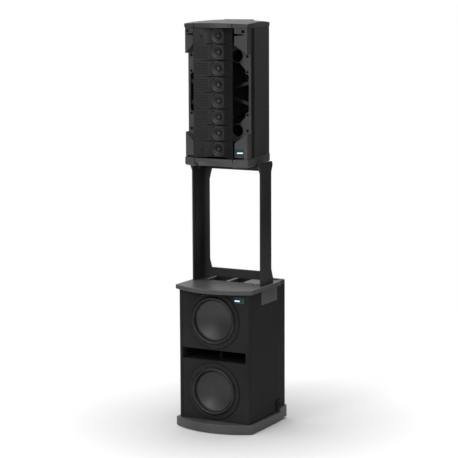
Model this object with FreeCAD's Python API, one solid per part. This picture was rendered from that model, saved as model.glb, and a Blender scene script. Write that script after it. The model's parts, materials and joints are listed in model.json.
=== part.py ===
"""Column PA system: a bass cabinet, a plug-in stand and a top cabinet with a bending array of small drivers.

Frame: millimetres, +X to the object's left-to-right as a listener sees it, -Y towards the listener, +Z up.
The origin is at the middle of the footprint, on the floor.
"""
import FreeCAD, Part
import math
import os

from FreeCAD import Vector as V

os.makedirs("parts", exist_ok=True)

# ---- driving dimensions: bass cabinet -------------------------------------------------------------
SUB_W, SUB_D, SUB_H = 410.0, 444.0, 688.0
SUB_BOW = 64.0                  # how far the front of the cap and the plinth curves out
CAB_X = 190.0                   # half width of the wooden cabinet
SIDE_T = 20.0                   # side board
BAFFLE_Y = -156.0               # front face of the baffles
BAFFLE_T = 18.0
BACK_Y = 112.0                  # front face of the back board
CAB_END_Y = 216.0               # rear edge of the cabinet
BAY_WALL = 3.5                  # wall of the bay round the rear panel
CAB_Z0, CAB_Z1 = 24.0, 668.0
PLINTH_Z0, PLINTH_Z1 = 3.0, 45.0
PORT_Z0, PORT_Z1 = 335.0, 387.0
SUB_WOOFER_Z = {"lower": 188.0, "upper": 530.0}
SUB_FLANGE_R, SUB_ROLL_R, SUB_CONE_R = 136.5, 113.5, 97.2
CAP_END_Y = 136.0               # where the cap ends and the rear cover starts
TRAY_X, TRAY_Y0, TRAY_DEPTH = 168.0, 20.0, 6.0
WELLS_X = ((-152.0, -50.0), (-32.0, 42.0))
WELL_Y0, WELL_Y1, WELL_DEPTH, WELL_WALL = 34.0, 172.0, 28.0, 3.0

# ---- driving dimensions: stand --------------------------------------------------------------------
POST_X0, POST_X1 = 178.0, 186.0  # inner and outer face of a post's side wall
POST_Y0, POST_Y1 = -29.0, 77.0
FLANGE_T = 12.0                  # the posts' rear flange and the cross bars
WINDOW_X = 147.0                 # half width of the opening between the flanges
POST_FOOT_Z = 613.0              # lower end of a post, inside its socket
POST_TOP_Z = 1272.0
SOCKET_GAP = 0.5

# ---- driving dimensions: top cabinet --------------------------------------------------------------
HEAD_Z0, HEAD_EDGE_Z, HEAD_CROWN_Z = 1257.0, 1922.0, 1936.0
HEAD_X = 167.0
HEAD_CORNER_Y, HEAD_APEX_Y, HEAD_END_Y = -124.0, -166.0, 207.0
LOWER_LIP_Z, UPPER_LIP_Z = 1296.0, 1903.0
HEAD_BAFFLE_Y, HEAD_BAFFLE_T = -90.0, 8.0
TRIM_CORNER_Y, TRIM_APEX_Y = -122.0, -161.0
BOARD_Y, BOARD_T = -10.0, 12.0   # the board that carries the large driver
POLE_Y, POLE_R = 30.0, 17.75     # socket for a 35 mm pole
DOWEL_X, DOWEL_Y = 140.0, 18.0   # pegs that locate the top cabinet on the stand
HEAD_MID_Z = 1600.0
WALL = 7.0
TRAY_FACE_Y = 179.0              # floor of the amplifier tray in the back wall

# ---- driving dimensions: array --------------------------------------------------------------------
MODULES = 8
PITCH = 75.4
ARRAY_X, ARRAY_Y = 103.0, -152.0
THROAT_X, THROAT_Y = 37.0, -104.0
MODULE_BACK_Y = THROAT_Y + 16
HINGE_Y = -128.0
BEND_DEG = 6.0                   # how far one module turns on the next
MODULE_GAP = 0.7

# ---- driving dimensions: controls -----------------------------------------------------------------
ROCKER_DEG = 14.0                # travel of a power switch

UP, RIGHT, BACK = V(0, 0, 1), V(1, 0, 0), V(0, 1, 0)


# ---- helpers --------------------------------------------------------------------------------------
def box(x0, x1, y0, y1, z0, z1):
    return Part.makeBox(x1 - x0, y1 - y0, z1 - z0, V(x0, y0, z0))


def rod_y(x, z, radius, y0, y1):
    return Part.makeCylinder(radius, y1 - y0, V(x, y0, z), BACK)


def rod_z(x, y, radius, z0, z1):
    return Part.makeCylinder(radius, z1 - z0, V(x, y, z0), UP)


def prism_z(points, z0, z1):
    wire = Part.makePolygon([V(x, y, z0) for x, y in points + points[:1]])
    return Part.Face(wire).extrude(V(0, 0, z1 - z0))


def prism_y(points, y0, y1):
    wire = Part.makePolygon([V(x, y0, z) for x, z in points + points[:1]])
    return Part.Face(wire).extrude(V(0, y1 - y0, 0))


def prism_x(points, x0, x1):
    wire = Part.makePolygon([V(x0, y, z) for y, z in points + points[:1]])
    return Part.Face(wire).extrude(V(x1 - x0, 0, 0))


def bowed_prism(half_x, corner_y, apex_y, tail, z0, z1):
    """A prism with a curved front. tail is the rest of the right-hand half outline, from front to rear."""
    arc = Part.Arc(V(-half_x, corner_y, z0), V(0, apex_y, z0), V(half_x, corner_y, z0)).toShape()
    right = [V(half_x, corner_y, z0)] + [V(x, y, z0) for x, y in tail]
    left = [V(-p.x, p.y, z0) for p in reversed(right)]
    rest = [Part.makeLine(a, b) for a, b in zip((right + left)[:-1], (right + left)[1:])]
    return Part.Face(Part.Wire([arc] + rest)).extrude(V(0, 0, z1 - z0))


def turned_y(profile, x, z):
    """A solid of revolution about the line through (x, z) along Y. profile is a list of (radius, y)."""
    wire = Part.makePolygon([V(x + r, y, z) for r, y in profile + profile[:1]])
    return Part.Face(wire).revolve(V(x, 0, z), BACK, 360)


def rounded(shape, radius, wanted):
    """Fillets the edges whose middle point passes the test."""
    edges = [e for e in shape.Edges if wanted(e.CenterOfMass)]
    return shape.makeFillet(radius, edges)


def mirrored(shape):
    return shape.mirror(V(0, 0, 0), RIGHT)


def both_sides(shape):
    return [shape, mirrored(shape)]


def arc_points(centre_r, centre_y, radius, start_deg, end_deg, steps=12):
    turn = [math.radians(start_deg + (end_deg - start_deg) * i / steps) for i in range(steps + 1)]
    return [(centre_r + radius * math.cos(t), centre_y + radius * math.sin(t)) for t in turn]


def save(name, *shapes):
    solids = [s for shape in shapes for s in shape.Solids]
    shape = solids[0] if len(solids) == 1 else Part.makeCompound(solids)
    if not solids or not shape.isValid():
        raise RuntimeError(name + " is not a valid solid")
    shape.exportStep("parts/" + name + ".step")


# ---- drivers --------------------------------------------------------------------------------------
def woofer(x, z, face_y, flange_r, roll_r, cone_r, dish, depth, magnet_r, magnet_t):
    """Frame with magnet, rubber surround, and moving cone with its voice coil former."""
    rim_y = face_y + 2
    neck_y = face_y + depth
    end_y = neck_y + magnet_t
    frame = turned_y([(roll_r + 0.2, face_y), (flange_r, face_y), (flange_r, face_y + 4),
                      (roll_r + 5, face_y + 4), (roll_r + 3, face_y + 14), (magnet_r - 6, neck_y - 4),
                      (magnet_r, neck_y - 4), (magnet_r, end_y), (0, end_y), (0, neck_y + 8),
                      (44, neck_y + 8), (44, neck_y - 2), (magnet_r - 12, neck_y - 6),
                      (roll_r - 2, face_y + 12), (roll_r + 0.2, face_y + 6)], x, z)
    mid, half = (roll_r + cone_r + 0.3) / 2, (roll_r - cone_r - 0.3) / 2
    outer = arc_points(mid, rim_y, half, 0, -180)
    inner = arc_points(mid, rim_y, half - 1.8, -180, 0)
    surround = turned_y(outer + inner, x, z)
    steps = 8
    front = [(cone_r * (1 - i / steps), rim_y + dish * (1 - (1 - i / steps) ** 2)) for i in range(steps + 1)]
    coil_r, coil_t = 26.0, 1.5
    skin = 2.5
    rear = [(r, y + skin) for r, y in reversed(front)]
    cone = turned_y(front + rear, x, z)
    coil_y0 = rim_y + dish * (1 - (coil_r / cone_r) ** 2) + skin / 2
    coil = rod_y(x, z, coil_r, coil_y0, neck_y - 3).cut(rod_y(x, z, coil_r - coil_t, coil_y0 - 5, neck_y))
    return frame, surround, cone.fuse(coil)


def screws_round(x, z, radius, count, first_deg, head_r, y0, y1):
    turn = [math.radians(first_deg + 360.0 * i / count) for i in range(count)]
    heads = [rod_y(x + radius * math.cos(t), z + radius * math.sin(t), head_r, y0, y1) for t in turn]
    return [h.cut(rod_y(h.CenterOfMass.x, h.CenterOfMass.z, head_r * 0.5, y0 - 1, y0 + 1.2)) for h in heads]


# ---- bass cabinet ---------------------------------------------------------------------------------
def sub_outline(z0, z1, tail):
    return bowed_prism(SUB_W / 2, -SUB_D / 2 + SUB_BOW, -SUB_D / 2, tail, z0, z1)


def socket_window(grow=0.0):
    """The space in a side board that the cap's socket housing fills."""
    return box(CAB_X - SIDE_T - 1, CAB_X + 1, -35 - grow, 127 + grow, 598 - grow, CAB_Z1 + 1)


def build_sub_boards():
    inner_x = CAB_X - SIDE_T
    side = box(inner_x, CAB_X, -158, BACK_Y + 14, CAB_Z0, CAB_Z1)
    side = rounded(side, 14, lambda c: abs(c.x - CAB_X) < 1 and abs(c.y + 158) < 1)
    side = side.cut([socket_window(), box(CAB_X - 6, CAB_X + 1, 110, 120, 60, 100)])
    save("sub_right_side", side)
    save("sub_left_side", mirrored(side))
    top = box(-inner_x, inner_x, BAFFLE_Y, BACK_Y, CAB_Z1 - 16, CAB_Z1)
    bottom = box(-inner_x, inner_x, BAFFLE_Y, BACK_Y, CAB_Z0, CAB_Z0 + 16)
    save("sub_end_boards", top.cut(well_clearance()), bottom)
    baffle_end = BAFFLE_Y + BAFFLE_T
    hole_r = SUB_ROLL_R + 5.5
    for name, z0, z1 in (("lower", CAB_Z0 + 16, PORT_Z0), ("upper", PORT_Z1, CAB_Z1 - 16)):
        board = box(-inner_x, inner_x, BAFFLE_Y, baffle_end, z0, z1)
        board = board.cut(rod_y(0, SUB_WOOFER_Z[name], hole_r, BAFFLE_Y - 1, baffle_end + 1))
        if name == "upper":
            light, seat = panel_light(138, 637, BAFFLE_Y, 50, 30)
            board = board.cut(seat)
            save("sub_status_light", light)
        save("sub_" + name + "_baffle", board)
    shelf_t, shelf_end = 15.0, 60.0
    lower = box(-inner_x, inner_x, baffle_end, shelf_end, PORT_Z0 - shelf_t, PORT_Z0)
    upper = box(-inner_x, inner_x, baffle_end, shelf_end, PORT_Z1, PORT_Z1 + shelf_t)
    divider = box(-7.5, 7.5, BAFFLE_Y + 70, shelf_end, PORT_Z0, PORT_Z1)
    save("sub_port_boards", lower, upper, divider)
    back = box(-inner_x, inner_x, BACK_Y, BACK_Y + 14, CAB_Z0, CAB_Z1)
    back = back.cut(box(-98, 98, BACK_Y - 1, BACK_Y + 15, 252, 588))
    save("sub_back_board", back.cut(well_clearance()))
    bay = box(-CAB_X, CAB_X, BACK_Y + 14, CAB_END_Y, CAB_Z0, CAB_Z1)
    bay = rounded(bay, 8, lambda c: abs(abs(c.x) - CAB_X) < 1 and abs(c.y - CAB_END_Y) < 1)
    bay_x = CAB_X - BAY_WALL
    bay = bay.cut(box(-bay_x, bay_x, BACK_Y + 14, CAB_END_Y + 1, CAB_Z0 + 30, CAB_Z1 - 8))
    bay = bay.cut(both_sides(socket_window()) + [well_clearance()])
    save("sub_rear_housing", bay)


def build_sub_cap():
    z0 = CAB_Z1
    cap = sub_outline(z0, SUB_H, [(SUB_W / 2, CAP_END_Y)])
    cap = rounded(cap, 4, lambda c: abs(c.z - SUB_H) < 1 and c.y < CAP_END_Y - 1)
    cap = cap.cut(box(-TRAY_X, TRAY_X, TRAY_Y0, CAP_END_Y + 1, SUB_H - TRAY_DEPTH, SUB_H + 1))
    cap = cap.fuse(well_block(WELL_WALL, CAP_END_Y, front=True)).cut(tray_wells())
    skirt_x = CAB_X + 2
    for side in (1, -1):
        housing = box(CAB_X - SIDE_T + 0.5, skirt_x, -34.5, 126.5, 598.5, z0)
        housing = rounded(housing, 3, lambda c: abs(c.x - skirt_x) < 1 and abs(c.z - z0) > 1)
        slot = box(POST_X0 - SOCKET_GAP, POST_X1 + SOCKET_GAP, POST_Y0 - SOCKET_GAP, POST_Y1 + SOCKET_GAP,
                   POST_FOOT_Z - 2, SUB_H + 1)
        pit = box(124, 171, 3, 43, SUB_H - 12, SUB_H + 1)
        if side < 0:
            housing, slot, pit = mirrored(housing), mirrored(slot), mirrored(pit)
        cap = cap.fuse(housing).cut([slot, pit])
    save("sub_top_cap", cap.removeSplitter())
    cover = prism_z([(-192, CAP_END_Y + 0.4), (192, CAP_END_Y + 0.4), (192, 206), (182, 218),
                     (-182, 218), (-192, 206)], z0, SUB_H - 2)
    cover = rounded(cover, 3, lambda c: abs(c.z - SUB_H + 2) < 1 and c.y > CAP_END_Y + 2)
    cover = cover.cut(box(-TRAY_X, TRAY_X, CAP_END_Y, 196, SUB_H - TRAY_DEPTH, SUB_H))
    cover = cover.fuse(well_block(WELL_WALL, CAP_END_Y + 0.4, front=False))
    save("sub_rear_cover", cover.cut(tray_wells()).removeSplitter())


def tray_wells():
    """Two wells in the cabinet's top, side by side."""
    floor_z = SUB_H - WELL_DEPTH
    wells = [box(x0, x1, WELL_Y0, WELL_Y1, floor_z, SUB_H) for x0, x1 in WELLS_X]
    return [rounded(w, 10, lambda c: abs(c.z - (floor_z + SUB_H) / 2) < 1) for w in wells]


def well_block(wall, split_y, front):
    """The block below the cap that the wells are sunk in, before or behind the cap's seam."""
    y0, y1 = (WELL_Y0 - wall, split_y) if front else (split_y, WELL_Y1 + wall)
    return box(WELLS_X[0][0] - wall, WELLS_X[1][1] + wall, y0, y1, SUB_H - WELL_DEPTH - wall, CAB_Z1)


def well_clearance():
    """The room that the boards below leave for the wells."""
    room = WELL_WALL + 1
    return box(WELLS_X[0][0] - room, WELLS_X[1][1] + room, WELL_Y0 - room, WELL_Y1 + room,
               SUB_H - WELL_DEPTH - room, CAB_Z1 + 1)


def build_sub_plinth():
    tail = [(SUB_W / 2, 200), (192, SUB_D / 2)]
    plinth = sub_outline(PLINTH_Z0, PLINTH_Z1, tail)
    plinth = rounded(plinth, 3, lambda c: abs(c.z - PLINTH_Z1) < 1)
    corner_top, corner_y = 65, 135
    corners = sub_outline(PLINTH_Z1 - 5, corner_top, tail)
    corners = corners.common(box(-210, 210, corner_y, 230, PLINTH_Z1 - 5, corner_top))
    mouth_x = CAB_X - BAY_WALL         # the bay's mouth stays open between the raised corners
    corners = corners.cut(box(-mouth_x, mouth_x, CAB_END_Y, 230, PLINTH_Z1, corner_top + 1))
    plinth = plinth.fuse(corners)
    gap = 0.3
    plinth = plinth.cut(box(-CAB_X - gap, CAB_X + gap, -158 - gap, CAB_END_Y + gap, CAB_Z0, 70))
    heel = prism_x([(88, 0), (128, 12), (230, 12), (230, 0)], -210, 210)
    plinth = plinth.cut(heel)
    feet = []
    for x in (-165, 165):
        for y in (-140, 66):
            plinth = plinth.cut(rod_z(x, y, 19, 0, 9))
            foot = rod_z(x, y, 18.5, 0, 9)
            feet.append(foot.cut(rod_z(x, y, 5, -1, 5)))
    save("sub_plinth", plinth)
    save("sub_feet", *feet)
    latch = box(CAB_X, CAB_X + 8, 122, 160, 66, 104)
    latch = rounded(latch, 3, lambda c: abs(c.x - CAB_X - 8) < 1)
    latch = latch.cut(box(CAB_X + 3, CAB_X + 9, 134, 148, 74, 96))
    save("sub_stow_latches", *both_sides(latch))


def build_sub_drivers():
    screws = []
    for name, z in SUB_WOOFER_Z.items():
        frame, surround, cone = woofer(0, z, BAFFLE_Y - 4, SUB_FLANGE_R, SUB_ROLL_R, SUB_CONE_R,
                                       24, 92, 66, 34)
        save("sub_" + name + "_woofer_frame", frame)
        save("sub_" + name + "_woofer_surround", surround)
        save("sub_" + name + "_woofer_cone", cone)
        screws += screws_round(0, z, 129, 8, 22.5, 4.5, BAFFLE_Y - 7, BAFFLE_Y - 4)
    save("sub_woofer_screws", *screws)


def panel_light(x, z, y, width, height, turn_deg=0.0):
    """A thin plate with a raised light bar, and the seat that it is let into, turned about a line along Z."""
    plate = box(-width / 2, width / 2, -1.0, 2.0, z - height / 2, z + height / 2)
    bar = box(-width * 0.36, width * 0.36, -1.6, -1.0, z - height * 0.3, z + height * 0.02)
    light, seat = plate.fuse(bar).removeSplitter(), plate.copy()
    for shape in (light, seat):
        shape.rotate(V(0, 0, 0), UP, turn_deg)
        shape.translate(V(x, y, 0))
    return light, seat


def build_sub_controls():
    """The amplifier plate in the back board, with its controls, inside the bay that stores the stand."""
    plate_y = BACK_Y + 14
    plate = box(-105, 105, plate_y, plate_y + 3, 245, 595)
    fins = [box(x - 1.5, x + 1.5, plate_y + 2, plate_y + 18, 440, 580) for x in range(-80, 81, 16)]
    case = box(-92, 92, BACK_Y - 30, plate_y, 258, 582).cut(box(-90, 90, BACK_Y - 28, plate_y, 260, 580))
    plate = plate.fuse([case] + fins).removeSplitter()
    knob_x, knob_z = -60, 390
    switch_x, switch_z = 68, 292
    plate = plate.cut(rod_y(knob_x, knob_z, 3.05, plate_y - 14, plate_y + 4))
    save("sub_amp_plate", plate.cut(box(switch_x - 8, switch_x + 8, plate_y - 13, plate_y + 4,
                                        switch_z - 11.5, switch_z + 11.5)))
    save("sub_level_knob", build_knob(knob_x, knob_z, plate_y + 3))
    save("sub_power_switch", build_rocker(switch_x, switch_z, plate_y + 3))
    jacks = [build_jack(x, 390, plate_y + 3) for x in (-15, 20, 55)]
    save("sub_sockets", *jacks, build_inlet(20, 292, plate_y + 3))
    bolts = [rod_y(x, z, 3.5, plate_y + 3, plate_y + 5.5) for x in (-99, 99) for z in (252, 420, 588)]
    save("sub_amp_screws", *bolts)


# ---- controls that both cabinets share ------------------------------------------------------------
def build_knob(x, z, face_y):
    """A knob that turns on a stub shaft. It stands 0.4 mm clear of its panel."""
    body = Part.makeCone(9, 7.5, 14, V(x, face_y + 0.4, z), BACK)
    pointer = box(x - 0.8, x + 0.8, face_y + 6, face_y + 16, z + 2, z + 9)
    shaft = rod_y(x, z, 3, face_y - 12, face_y + 1)
    return body.cut(pointer).fuse(shaft).removeSplitter()


def build_rocker(x, z, face_y):
    """A rocker key that tips about a line along X, 4 mm inside the panel's face. It is made switched off."""
    half_w, half_h = 7.2, 10.4
    key = prism_x([(face_y - 8, z - 5), (face_y - 8, z + 5), (face_y - 2, z + half_h),
                   (face_y + 1.5, z + half_h), (face_y + 0.6, z), (face_y + 1.5, z - half_h),
                   (face_y - 2, z - half_h)], x - half_w, x + half_w)
    key.rotate(V(x, face_y - 4, z), RIGHT, -ROCKER_DEG / 2)
    return key


def build_jack(x, z, face_y):
    ring = rod_y(x, z, 13, face_y, face_y + 2)
    ring = ring.cut(rod_y(x, z, 10, face_y - 1, face_y + 3))
    core = rod_y(x, z, 8.5, face_y, face_y + 1.2).cut(rod_y(x, z, 3.2, face_y + 0.1, face_y + 3))
    floor = rod_y(x, z, 10.5, face_y, face_y + 0.5)
    return ring.fuse([core, floor]).removeSplitter()


def build_inlet(x, z, face_y):
    body = box(x - 15, x + 15, face_y, face_y + 3, z - 12, z + 12)
    body = body.cut(box(x - 12, x + 12, face_y + 0.6, face_y + 4, z - 9, z + 8))
    pins = [box(x + dx - 1, x + dx + 1, face_y + 0.5, face_y + 2.8, z - 3, z + 3) for dx in (-6, 0, 6)]
    return body.fuse(pins).removeSplitter()


# ---- stand ----------------------------------------------------------------------------------------
def build_stand():
    shoulder_z = SUB_H + 0.4
    wall = prism_x([(POST_Y0, POST_FOOT_Z), (POST_Y0, 1222), (-46, 1250), (-46, 1264), (-38, POST_TOP_Z),
                    (82, POST_TOP_Z), (90, 1264), (90, 1250), (POST_Y1, 1222), (POST_Y1, 756),
                    (97, 706), (97, shoulder_z), (POST_Y1, shoulder_z), (POST_Y1, POST_FOOT_Z)],
                   POST_X0, POST_X1)
    wall = rounded(wall, 2.4, lambda c: abs(c.y - POST_Y0) < 1 and abs(c.z - 917) < 80)
    flange_y = POST_Y1 - FLANGE_T
    flange = box(WINDOW_X, POST_X0, flange_y, POST_Y1, shoulder_z + 3, HEAD_Z0 - 0.4)
    rib = box(POST_X0 - 5, POST_X0, 0, 4, 760, 1215)
    post = wall.fuse([flange, rib]).removeSplitter()
    save("stand_right_post", post)
    save("stand_left_post", mirrored(post))
    top = prism_y([(-WINDOW_X, HEAD_Z0 - 0.4), (WINDOW_X, HEAD_Z0 - 0.4), (WINDOW_X, 1168), (133, 1223),
                   (-133, 1223), (-WINDOW_X, 1168)], flange_y, POST_Y1)
    save("stand_top_bar", top)
    low = prism_y([(-WINDOW_X, 700), (WINDOW_X, 700), (WINDOW_X, 783), (136, 742), (-136, 742),
                   (-WINDOW_X, 783)], flange_y, POST_Y1)
    save("stand_bottom_bar", low)
    shelf = box(118, POST_X0, POST_Y0 + 3, flange_y, HEAD_Z0 - 12, HEAD_Z0 - 0.4)
    gusset = prism_y([(POST_X0, HEAD_Z0 - 12), (150, HEAD_Z0 - 12), (POST_X0, HEAD_Z0 - 36)], 10, 16)
    dowel = rod_z(DOWEL_X, DOWEL_Y, 8, HEAD_Z0 - 0.4, HEAD_Z0 + 15.6)
    tip = Part.makeCone(8, 5.5, 4, V(DOWEL_X, DOWEL_Y, HEAD_Z0 + 15.6))
    shelf = shelf.fuse([gusset, dowel, tip]).removeSplitter()
    save("stand_shelves", *both_sides(shelf))
    screws = []
    for x in (-157, 157):
        for z in (1180, 1230, 730, 770):
            screws.append(rod_y(x, z, 5, POST_Y1, POST_Y1 + 3).cut(rod_y(x, z, 2.5, POST_Y1 + 1, POST_Y1 + 4)))
    save("stand_screws", *screws)


# ---- top cabinet ----------------------------------------------------------------------------------
HEAD_TAIL = [(HEAD_X, -52.0), (120.0, 190.0), (108.0, HEAD_END_Y)]
SHELL_TAIL = [(166.0, HEAD_BAFFLE_Y + HEAD_BAFFLE_T), (166.0, -52.0), (118.5, 188.0), (106.0, 202.0)]


def head_outline(z0, z1):
    return bowed_prism(HEAD_X, HEAD_CORNER_Y, HEAD_APEX_Y, HEAD_TAIL, z0, z1)


def shell_prism(inset, z0, z1, front_grow=0.0):
    """The plan of the tapered rear shell, from its open front to its back wall."""
    half = [(x - inset, y - (inset if y > 0 else 0.0)) for x, y in SHELL_TAIL]
    half[0] = (half[0][0], half[0][1] - front_grow)
    return prism_z(half + [(-x, y) for x, y in reversed(half)], z0, z1)


def build_head_shell():
    shell = shell_prism(0, LOWER_LIP_Z, UPPER_LIP_Z)
    shell = rounded(shell, 10, lambda c: c.y > 180 and abs(c.z - (LOWER_LIP_Z + UPPER_LIP_Z) / 2) < 1)
    shell = shell.cut(shell_prism(WALL, LOWER_LIP_Z - 1, UPPER_LIP_Z + 1, front_grow=1))
    save("head_shell", shell.cut(box(-82, 82, TRAY_FACE_Y, HEAD_END_Y, 1338, 1702)))
    board_x, rear_x = 150.2, 147.6
    board = prism_z([(-board_x, BOARD_Y), (board_x, BOARD_Y), (rear_x, BOARD_Y + BOARD_T),
                     (-rear_x, BOARD_Y + BOARD_T)], LOWER_LIP_Z, UPPER_LIP_Z)
    board = board.cut(rod_y(0, HEAD_MID_Z, 139.5, BOARD_Y - 1, BOARD_Y + BOARD_T + 1))
    for x, z in port_places():
        board = board.cut(rod_y(x, z, 32.2, BOARD_Y - 1, BOARD_Y + BOARD_T + 1))
    save("head_woofer_board", board)


def port_places():
    return [(x, HEAD_MID_Z + dz) for x in (-96, 96) for dz in (-173, 173)]


def build_head_baffle():
    y0, y1 = HEAD_BAFFLE_Y, HEAD_BAFFLE_Y + HEAD_BAFFLE_T
    plate = box(-166, 166, y0, y1, LOWER_LIP_Z, UPPER_LIP_Z)
    opening = rod_y(0, HEAD_MID_Z, 175, y0 - 1, y1 + 1).common(
        box(-155, 155, y0 - 2, y1 + 2, HEAD_MID_Z - 180, HEAD_MID_Z + 180))
    trough = [(46, -150), (68, -226), (ARRAY_X + 4, -226), (ARRAY_X + 4, -310)]
    half = [(x, HEAD_MID_Z + dz) for x, dz in trough]
    half = [(x, 2 * HEAD_MID_Z - z) for x, z in reversed(half)] + half
    slot = prism_y(half + [(-x, z) for x, z in reversed(half)], y0 - 1, y1 + 1)
    plate = plate.cut([opening, slot])
    bosses, holes = [], []
    for side in (-1, 1):
        for dz in (-171.5, -99, 99, 171.5):
            x, z = side * 149, HEAD_MID_Z + dz
            bosses.append(rod_y(x, z, 11, y0, y1))
            holes.append(rod_y(x, z, 4, y0 - 1, y1 + 1))
    plate = plate.fuse(bosses).cut(holes)
    plate = plate.cut([rod_y(x, z, 29, y0 - 1, y1 + 1) for x, z in port_places()])
    save("head_baffle", plate.removeSplitter())
    tubes = []
    for x, z in port_places():
        outer = rod_y(x, z, 32, y1, BOARD_Y + BOARD_T + 30)
        tubes.append(outer.cut(rod_y(x, z, 29, y1 - 1, BOARD_Y + BOARD_T + 31)))
    save("head_port_tubes", *tubes)


def build_head_trim():
    """The four corner panels beside the array's ends. Their fronts follow the bow of the caps."""
    x0, x1, skin, rear = ARRAY_X + 6, 164.0, 4.0, HEAD_BAFFLE_Y
    top, bottom = UPPER_LIP_Z - 0.3, LOWER_LIP_Z + 0.3
    bow = bowed_prism(x1, TRIM_CORNER_Y, TRIM_APEX_Y, [(x1, rear)], bottom, top)
    upper = bow.common(prism_y([(x0, top), (x1, top), (x1, 1782), (x0, 1825)], HEAD_APEX_Y, rear))
    hollow = prism_y([(x0 + skin, top - skin), (x1 - skin, top - skin), (x1 - skin, 1790), (x0 + skin, 1827)],
                     TRIM_CORNER_Y + 8, rear + 1)
    slot = prism_y([(x0 - 1, 1866), (151, 1869), (151, 1873.5), (x0 - 1, 1877)],
                   HEAD_APEX_Y, TRIM_CORNER_Y + 9)
    catch = box(139.5, 153.5, HEAD_APEX_Y, TRIM_CORNER_Y + 9, 1880, 1893)
    save("head_upper_trim", *both_sides(upper.cut([hollow, slot, catch])))
    lower = bow.common(prism_y([(x0, bottom), (x1, bottom), (x1, 1415), (x0, 1372)], HEAD_APEX_Y, rear))
    pit = prism_y([(x0 + skin, bottom + skin), (x1 - skin, bottom + skin), (x1 - skin, 1407),
                   (x0 + skin, 1370)], TRIM_CORNER_Y + 8, rear + 1)
    lower = lower.cut([pit, box(x0 - 1, 150, HEAD_APEX_Y, TRIM_CORNER_Y + 9, bottom - 1, 1306)])
    light, seat = panel_light(128, 1327, trim_front(128), 42, 32, trim_slope(128))
    save("head_lower_trim", lower.cut(seat), mirrored(lower))
    save("head_status_light", light)


def trim_front(x):
    """Depth of the corner panels' curved front at x, as the parabola close to its arc."""
    return TRIM_CORNER_Y - (TRIM_CORNER_Y - TRIM_APEX_Y) * (1 - (x / 164.0) ** 2)


def trim_slope(x):
    return math.degrees(math.atan(2 * (TRIM_CORNER_Y - TRIM_APEX_Y) * x / 164.0 ** 2))


def build_head_caps():
    blank = head_outline(UPPER_LIP_Z, HEAD_CROWN_Z + 4)
    rise = HEAD_CROWN_Z - HEAD_EDGE_Z
    crown_r = (200.0 ** 2 + rise ** 2) / (2 * rise)
    cap = blank.common(Part.makeSphere(crown_r, V(0, 10, HEAD_CROWN_Z - crown_r)))
    for x in (-101, 101):
        cap = cap.cut(box(x - 2, x + 2, -180, -146, UPPER_LIP_Z - 1, HEAD_EDGE_Z + 8))
    cap = cap.cut(box(-ARRAY_X - 4, ARRAY_X + 4, -147, -60, UPPER_LIP_Z - 1, UPPER_LIP_Z + 4))
    inserts = [(x, y) for x in (-90, 90) for y in (-60, 40)]
    hollow = prism_z([(-140, -76), (140, -76), (140, -44), (128, 48), (-128, 48), (-140, -44)],
                     UPPER_LIP_Z - 1, HEAD_EDGE_Z)
    cap = cap.cut(hollow.cut([rod_z(x, y, 11, UPPER_LIP_Z - 2, HEAD_EDGE_Z + 1) for x, y in inserts]))
    cap = cap.fuse(box(-80, 80, 56, 154, UPPER_LIP_Z - 29, UPPER_LIP_Z))
    pocket_z0, pocket_z1 = UPPER_LIP_Z - 25, HEAD_CROWN_Z + 6
    pocket = rounded(box(-74, 74, 62, 148, pocket_z0, pocket_z1), 16,
                     lambda c: abs(c.z - (pocket_z0 + pocket_z1) / 2) < 1)
    cap = cap.cut(pocket)
    for x, y in inserts:
        cap = cap.cut(rod_z(x, y, 3.4, UPPER_LIP_Z + 8, HEAD_CROWN_Z + 4))
    save("head_top_cap", cap.removeSplitter())
    bar = box(-74, 74, 92, 118, HEAD_EDGE_Z - 6, HEAD_CROWN_Z - 1.5)
    bar = rounded(bar, 5, lambda c: abs(c.x) < 1)
    save("head_top_handle", bar)
    base = head_outline(HEAD_Z0, LOWER_LIP_Z)
    base = rounded(base, 9, lambda c: abs(c.z - HEAD_Z0) < 1)
    under_lip = prism_x([(-190, HEAD_Z0 - 1), (-190, LOWER_LIP_Z - 14), (-152, LOWER_LIP_Z - 14),
                         (-118, HEAD_Z0 - 1)], -99, 99)
    swing_room = box(-ARRAY_X - 4, ARRAY_X + 4, -147, -60, LOWER_LIP_Z - 4, LOWER_LIP_Z + 1)
    base = base.cut([under_lip, swing_room])
    for x in (-101, 101):
        base = base.cut(box(x - 2, x + 2, -180, -146, HEAD_Z0 - 1, LOWER_LIP_Z + 1))
    for x in (-DOWEL_X, DOWEL_X):
        base = base.cut(rod_z(x, DOWEL_Y, 8.6, HEAD_Z0 - 1, HEAD_Z0 + 22))
    cup_r = POLE_R + 6.25
    hollow = prism_z([(-140, -110), (140, -110), (140, -50), (98, 150), (-98, 150), (-140, -50)],
                     HEAD_Z0 + 8, LOWER_LIP_Z + 1)
    keep = [rod_z(x, y, r, HEAD_Z0, LOWER_LIP_Z + 2)
            for x, y, r in ((0, POLE_Y, cup_r + 8), (DOWEL_X, DOWEL_Y, 15), (-DOWEL_X, DOWEL_Y, 15))]
    base = base.cut(hollow.cut(keep)).cut(rod_z(0, POLE_Y, cup_r + 0.2, HEAD_Z0 - 1, LOWER_LIP_Z + 1))
    save("head_bottom_cap", base)
    cup = rod_z(0, POLE_Y, cup_r, HEAD_Z0 + 1, HEAD_Z0 + 92)
    save("head_pole_cup", cup.cut(rod_z(0, POLE_Y, POLE_R, HEAD_Z0, HEAD_Z0 + 86)))


def build_head_driver():
    frame, surround, cone = woofer(0, HEAD_MID_Z, BOARD_Y - 4, 147, 134, 116, 34, 84, 70, 36)
    save("head_woofer_frame", frame)
    save("head_woofer_surround", surround)
    save("head_woofer_cone", cone)


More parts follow.
